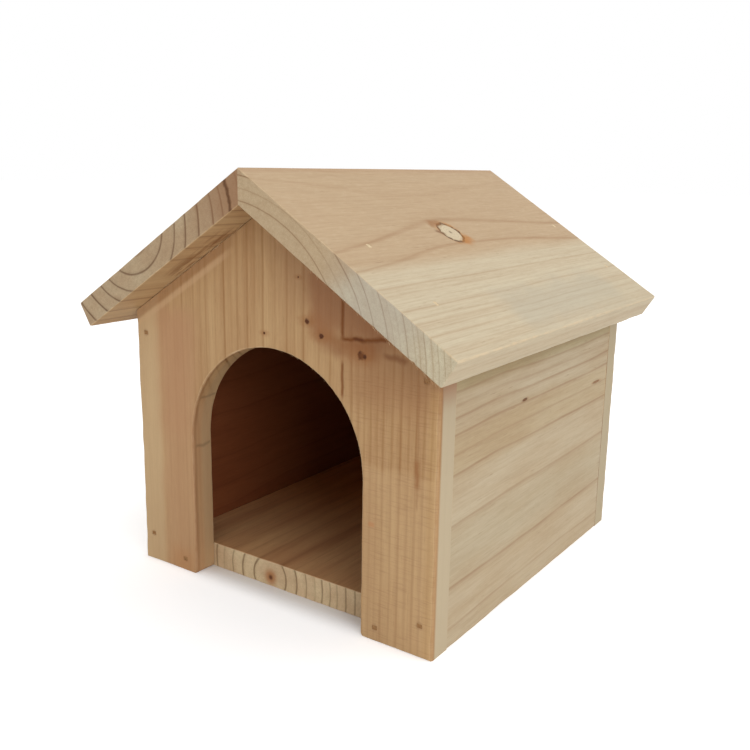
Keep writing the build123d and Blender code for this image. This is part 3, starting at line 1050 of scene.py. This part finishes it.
def on_spots(name, shaper, spots, sizes, joined=False):
    """A piece that a shaper makes on spots in mm, or along the line that joins them."""
    mesh = bpy.data.meshes.new(name)
    edges = [(spot, spot + 1) for spot in range(len(spots) - 1)] if joined else []
    mesh.from_pydata([Vector(spot) * MM for spot in spots], edges, [])
    piece = add_object(name, mesh)
    maker = piece.modifiers.new(name, "NODES")
    maker.node_group = shaper.tree
    for size, value in sizes.items():
        maker[shaper.keys[size]] = value
    piece.data = plain_mesh(piece)
    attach(piece, "root")
    return piece


metal = Wood("brad_steel")
metal.specks(0.5, 3.0, (132, 96, 60), (106, 72, 40), 0.45, 0.7)
metal.emboss(metal.noise(0.12, 2.0), 0.02)
metal.tree.nodes["Principled BSDF"].inputs["Metallic"].default_value = 0.4
brad_steel = metal.finish()

shaper = Shaper("flat_wire_brads")
head, wide = shaper.size("Head Length"), shaper.size("Head Width")
top = shaper.node("GeometryNodeMeshGrid", head, wide, 2, 2)
top = shaper.move(top, None, 1.0, 1.0, shaper.size("Set Below Wood"))
brad = shaper.node("GeometryNodeFlipFaces", top)
brad, under = shaper.draw_down(brad, None, shaper.size("Head Depth"))
brad, under = shaper.draw_down(brad, under, 0.0)
brad = shaper.move(
    brad, under, shaper.math("DIVIDE", shaper.size("Wire Thickness"), head),
    shaper.math("DIVIDE", shaper.size("Wire Width"), wide), 0.0)
brad, under = shaper.draw_down(brad, under, shaper.size("Wire Length"))
brad, under = shaper.draw_down(brad, under, shaper.size("Point Length"))
brad = shaper.move(brad, under, shaper.size("Point Share"), 1.0, 0.0)
outward = shaper.size("Outward", "Vector")
shaper.copy_onto(shaper.given["Geometry"], shaper.close(brad, top), outward, None, brad_steel)

for group, (outward, spots) in brad_rows.items():
    piece = on_spots(group.replace("brads", "brad_wires"), shaper, spots, {
        "Head Length": brad_head * MM, "Head Width": brad_width * MM,
        "Head Depth": brad_head_depth * MM, "Set Below Wood": brad_set * MM,
        "Wire Thickness": brad_thick * MM, "Wire Width": 0.97 * brad_width * MM,
        "Wire Length": (brad_length - brad_head_depth - brad_point) * MM,
        "Point Length": brad_point * MM, "Point Share": 0.1, "Outward": outward,
    })
    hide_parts(group)


# Filler.  Wood putty, wiped into the holes over the brads and nearly flush: pale on the roof,
# where only a light speck shows, and brown on the gable panels, where it has sunk and darkened.

def putty(name, light, dark):
    """Putty of a colour, a little lumpy."""
    mix = Wood(name)
    mix.emboss(mix.specks(0.3, 3.0, light, dark, 0.75, 0.9), 0.04)
    return mix.finish()


def plug_shaper(material):
    """The tree that makes a plug of putty in each hole: a lumpy top, with sides drawn down."""
    shaper = Shaper(material.name + "_plugs")
    long, wide = shaper.size("Length"), shaper.size("Width")
    top = shaper.node("GeometryNodeMeshGrid", long, wide, 6, 5)
    top = shaper.move(top, None, 1.0, 1.0, shaper.size("Below Wood"))
    uneven = shaper.node("ShaderNodeTexNoise", None, None, shaper.size("Lumps Per Metre"))
    dip = shaper.math("MULTIPLY", uneven, shaper.size("Dip"))
    dip = shaper.node("ShaderNodeCombineXYZ", 0.0, 0.0, dip)
    top = shaper.node("GeometryNodeSetPosition", top, None, None, dip)
    plug = shaper.node("GeometryNodeFlipFaces", top)
    plug, _ = shaper.draw_down(plug, None, shaper.size("Depth"))
    outward = shaper.size("Outward", "Vector")
    shaper.copy_onto(shaper.given["Geometry"], shaper.close(plug, top), outward, None, material)
    return shaper


pale_plugs = plug_shaper(putty("pale_putty", (224, 204, 168), (204, 180, 142)))
brown_plugs = plug_shaper(putty("brown_putty", (174, 132, 88), (142, 102, 62)))
for group, (outward, spots) in brad_rows.items():
    on_roof = "roof" in group
    on_spots(group.replace("brads", "putty"), pale_plugs if on_roof else brown_plugs, spots, {
        "Length": (brad_head + brad_ease) * MM, "Width": (brad_width + brad_ease) * MM,
        "Below Wood": (0.03 if on_roof else 0.08) * MM, "Depth": (0.2 if on_roof else 0.15) * MM,
        "Lumps Per Metre": 1.4 / MM, "Dip": -0.06 * MM, "Outward": outward,
    })


# Loose fibres.  Thin bent slivers of pine that the saw and the sandpaper have raised along a few
# of the arrises, each still rooted in its board.

fibres = Wood("loose_fibres")
fibres.specks(1.5, 2.0, (196, 158, 112), (228, 204, 166), 0.75, 0.85)
fibres.emboss(fibres.noise(0.1, 1.0), 0.01)
loose_fibres = fibres.finish()

shaper = Shaper("raised_fibres")
line = shaper.node("GeometryNodeMeshToCurve", shaper.given["Geometry"])
roots = shaper.add("GeometryNodeCurveToPoints", line, shaper.size("Fibres", "Int")).outputs


def chance_way(seed, reach):
    """A chance way for each fibre, up to a reach along each axis."""
    way = shaper.node("FunctionNodeRandomValue", (-1, -1, -1), (1, 1, 1), *[None] * 6, seed,
                      data_type="FLOAT_VECTOR")
    return shaper.vector("SCALE", way, scale=reach)


spread = chance_way(1, shaper.size("Spread"))
points = shaper.node("GeometryNodeSetPosition", roots["Points"], None, None, spread)
way = roots["Tangent"]
for bias in (shaper.size("Away", "Vector"), chance_way(2, shaper.size("Scatter"))):
    way = shaper.vector("ADD", way, bias)
bend = shaper.node("GeometryNodeCurveQuadraticBezier", 4, (0, 0, 0), (0, 0, 0.5), (0.25, 0, 0.95))
taper = shaper.math("MULTIPLY_ADD", shaper.node("GeometryNodeSplineParameter"), -0.75, 1.0)
around = shaper.size("Slenderness")
around = shaper.node("GeometryNodeCurvePrimitiveCircle", 3, None, None, None, around)
fibre = shaper.node("GeometryNodeCurveToMesh", bend, around, taper, True)
uneven = shaper.node("FunctionNodeRandomValue", None, None, 0.35, 1.0, *[None] * 4, 3, output=1)
length = shaper.math("MULTIPLY", uneven, shaper.size("Length"))
shaper.copy_onto(points, fibre, way, length, loose_fibres)

under_ridge = ridge - board_thick / cos(pitch)
end = [(x, roof_front + 0.35, under_ridge - x * tan(pitch)) for x in (20, 53)]
joint = [(-x, front_face - 0.3, under_ridge - x * tan(pitch)) for x in (8, 34)]
arch = [(door_half * cos(turn), front_face + 0.25, door_spring + door_half * sin(turn))
        for turn in (radians(degrees) for degrees in range(0, 90, 6))]
for name, slot, line, (count, length, slenderness, spread, scatter), away in (
        ("right_roof_fibres", "roof_wood", end, (70, 1.5, 0.045, 0.15, 0.35), (0, 0.3, -0.25)),
        ("left_roof_fibres", "roof_wood", joint, (60, 2.6, 0.035, 0.35, 0.25), (0, -0.1, -0.1)),
        ("doorway_fibres", "front_wood", arch, (50, 0.7, 0.06, 0.12, 0.5), (0, -0.1, 0))):
    on_spots(name, shaper, line, {
        "Fibres": count, "Length": length * MM, "Slenderness": slenderness, "Spread": spread * MM,
        "Scatter": scatter, "Away": away}, joined=True)


bpy.data.objects.remove(holes)
